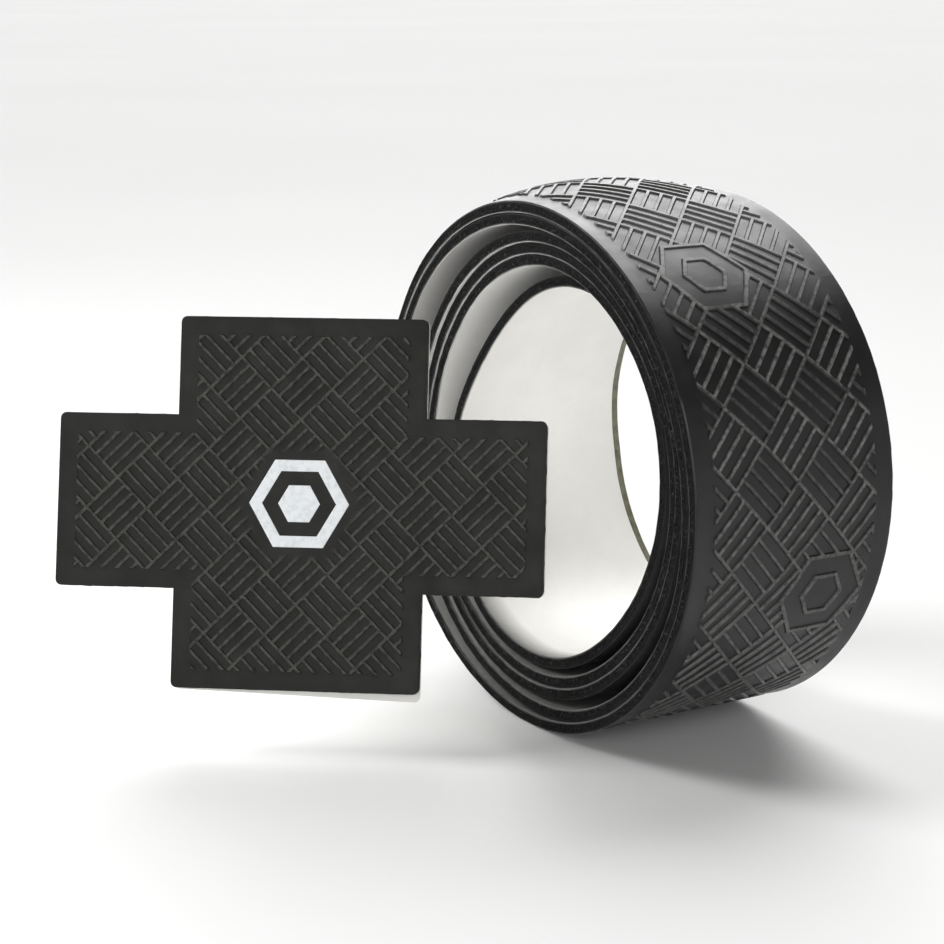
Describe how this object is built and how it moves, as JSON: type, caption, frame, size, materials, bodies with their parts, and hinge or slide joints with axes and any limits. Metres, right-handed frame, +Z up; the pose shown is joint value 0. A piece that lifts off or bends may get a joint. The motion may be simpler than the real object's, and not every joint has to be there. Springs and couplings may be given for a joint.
{
  "type": "grip tape roll",
  "caption": "Spirally wound cushioned grip tape with a woven-pattern embossed face, and a cross-shaped end patch whose flaps fold over a handle's butt.",
  "frame": {"origin": "the coil's winding centre, halfway along the tape's width", "axes": "+Z up, +Y along the roll's axis from the near rim to the far rim, +X to the right seen from the near rim; the coil stands on its tread at the lowest Z"},
  "size_m": [0.0726, 0.0842, 0.0683],
  "materials": {
    "tape_skin": "satin embossed polyurethane skin",
    "patch_skin": "matt embossed polyurethane skin",
    "foam": "matt open-cell foam, rough at cut edges",
    "adhesive": "translucent tacky film",
    "release_liner": "satin siliconised release film",
    "patch_release_paper": "matt siliconised release paper",
    "white_print": "matt screen print"
  },
  "bodies": {
    "coil": {"coil_skin": "tape_skin", "coil_foam": "foam", "coil_adhesive": "adhesive", "coil_liner": "release_liner"},
    "tail_1": {"tail_1_skin": "tape_skin", "tail_1_foam": "foam", "tail_1_adhesive": "adhesive", "tail_1_liner": "release_liner"},
    "tail_2": {"tail_2_skin": "tape_skin", "tail_2_foam": "foam", "tail_2_adhesive": "adhesive", "tail_2_liner": "release_liner"},
    "tail_3": {"tail_3_skin": "tape_skin", "tail_3_foam": "foam", "tail_3_adhesive": "adhesive", "tail_3_liner": "release_liner"},
    "tail_4": {"tail_4_skin": "tape_skin", "tail_4_foam": "foam", "tail_4_adhesive": "adhesive", "tail_4_liner": "release_liner"},
    "tail_5": {"tail_5_skin": "tape_skin", "tail_5_foam": "foam", "tail_5_adhesive": "adhesive"},
    "tail_5_release": {"tail_5_liner": "release_liner"},
    "patch_release": {"patch_liner": "patch_release_paper"},
    "patch_centre": {"patch_skin": "patch_skin", "patch_foam": "foam", "patch_adhesive": "adhesive", "patch_mark": "white_print"},
    "top_flap": {"top_flap_skin": "patch_skin", "top_flap_foam": "foam", "top_flap_adhesive": "adhesive"},
    "bottom_flap": {"bottom_flap_skin": "patch_skin", "bottom_flap_foam": "foam", "bottom_flap_adhesive": "adhesive"},
    "left_flap": {"left_flap_skin": "patch_skin", "left_flap_foam": "foam", "left_flap_adhesive": "adhesive"},
    "right_flap": {"right_flap_skin": "patch_skin", "right_flap_foam": "foam", "right_flap_adhesive": "adhesive"}
  },
  "joints": [
    {"name": "unroll_1", "type": "hinge", "parent": "coil", "child": "tail_1", "pos_m": [0.01742, 0, 0.03018], "axis": [0, 1, 0], "range_deg": [0, 24]},
    {"name": "unroll_2", "type": "hinge", "parent": "tail_1", "child": "tail_2", "pos_m": [0.00361, 0, 0.03433], "axis": [0, 1, 0], "range_deg": [0, 24]},
    {"name": "unroll_3", "type": "hinge", "parent": "tail_2", "child": "tail_3", "pos_m": [-0.01074, 0, 0.03307], "axis": [0, 1, 0], "range_deg": [0, 24]},
    {"name": "unroll_4", "type": "hinge", "parent": "tail_3", "child": "tail_4", "pos_m": [-0.02376, 0, 0.02638], "axis": [0, 1, 0], "range_deg": [0, 24]},
    {"name": "unroll_5", "type": "hinge", "parent": "tail_4", "child": "tail_5", "pos_m": [-0.03316, 0, 0.01476], "axis": [0, 1, 0], "range_deg": [0, 24]},
    {"name": "liner_lift", "type": "hinge", "parent": "tail_4", "child": "tail_5_release", "pos_m": [-0.03184, 0, 0.01418], "axis": [0, 1, 0], "range_deg": [-14, 0]},
    {"name": "patch_lift_off", "type": "slide", "parent": "coil", "child": "patch_release", "axis": [0.7682, -0.581, 0.2689], "range_m": [0, 0.06]},
    {"name": "patch_peel", "type": "slide", "parent": "patch_release", "child": "patch_centre", "axis": [0.7682, -0.581, 0.2689], "range_m": [0, 0.03]},
    {"name": "top_fold", "type": "hinge", "parent": "patch_centre", "child": "top_flap", "pos_m": [-0.01279, -0.04024, 0.00763], "axis": [-0.6032, -0.7976, 0], "range_deg": [0, 90]},
    {"name": "bottom_fold", "type": "hinge", "parent": "patch_centre", "child": "bottom_flap", "pos_m": [-0.00807, -0.04381, -0.01356], "axis": [0.6032, 0.7976, 0], "range_deg": [0, 90]},
    {"name": "left_fold", "type": "hinge", "parent": "patch_centre", "child": "left_flap", "pos_m": [-0.01993, -0.05458, -0.00296], "axis": [0.2145, -0.1622, -0.9632], "range_deg": [0, 90]},
    {"name": "right_fold", "type": "hinge", "parent": "patch_centre", "child": "right_flap", "pos_m": [-0.00093, -0.02946, -0.00296], "axis": [-0.2145, 0.1622, 0.9632], "range_deg": [0, 90]}
  ],
  "couplings": [
    {"joint": "unroll_2", "follows": "unroll_1", "ratio": 1},
    {"joint": "unroll_3", "follows": "unroll_1", "ratio": 1},
    {"joint": "unroll_4", "follows": "unroll_1", "ratio": 1},
    {"joint": "unroll_5", "follows": "unroll_1", "ratio": 1},
    {"joint": "liner_lift", "follows": "unroll_1", "ratio": -0.583},
    {"joint": "top_fold", "follows": "patch_peel", "rad_per_m": 52.36},
    {"joint": "bottom_fold", "follows": "patch_peel", "rad_per_m": 52.36},
    {"joint": "left_fold", "follows": "patch_peel", "rad_per_m": 52.36},
    {"joint": "right_fold", "follows": "patch_peel", "rad_per_m": 52.36}
  ]
}
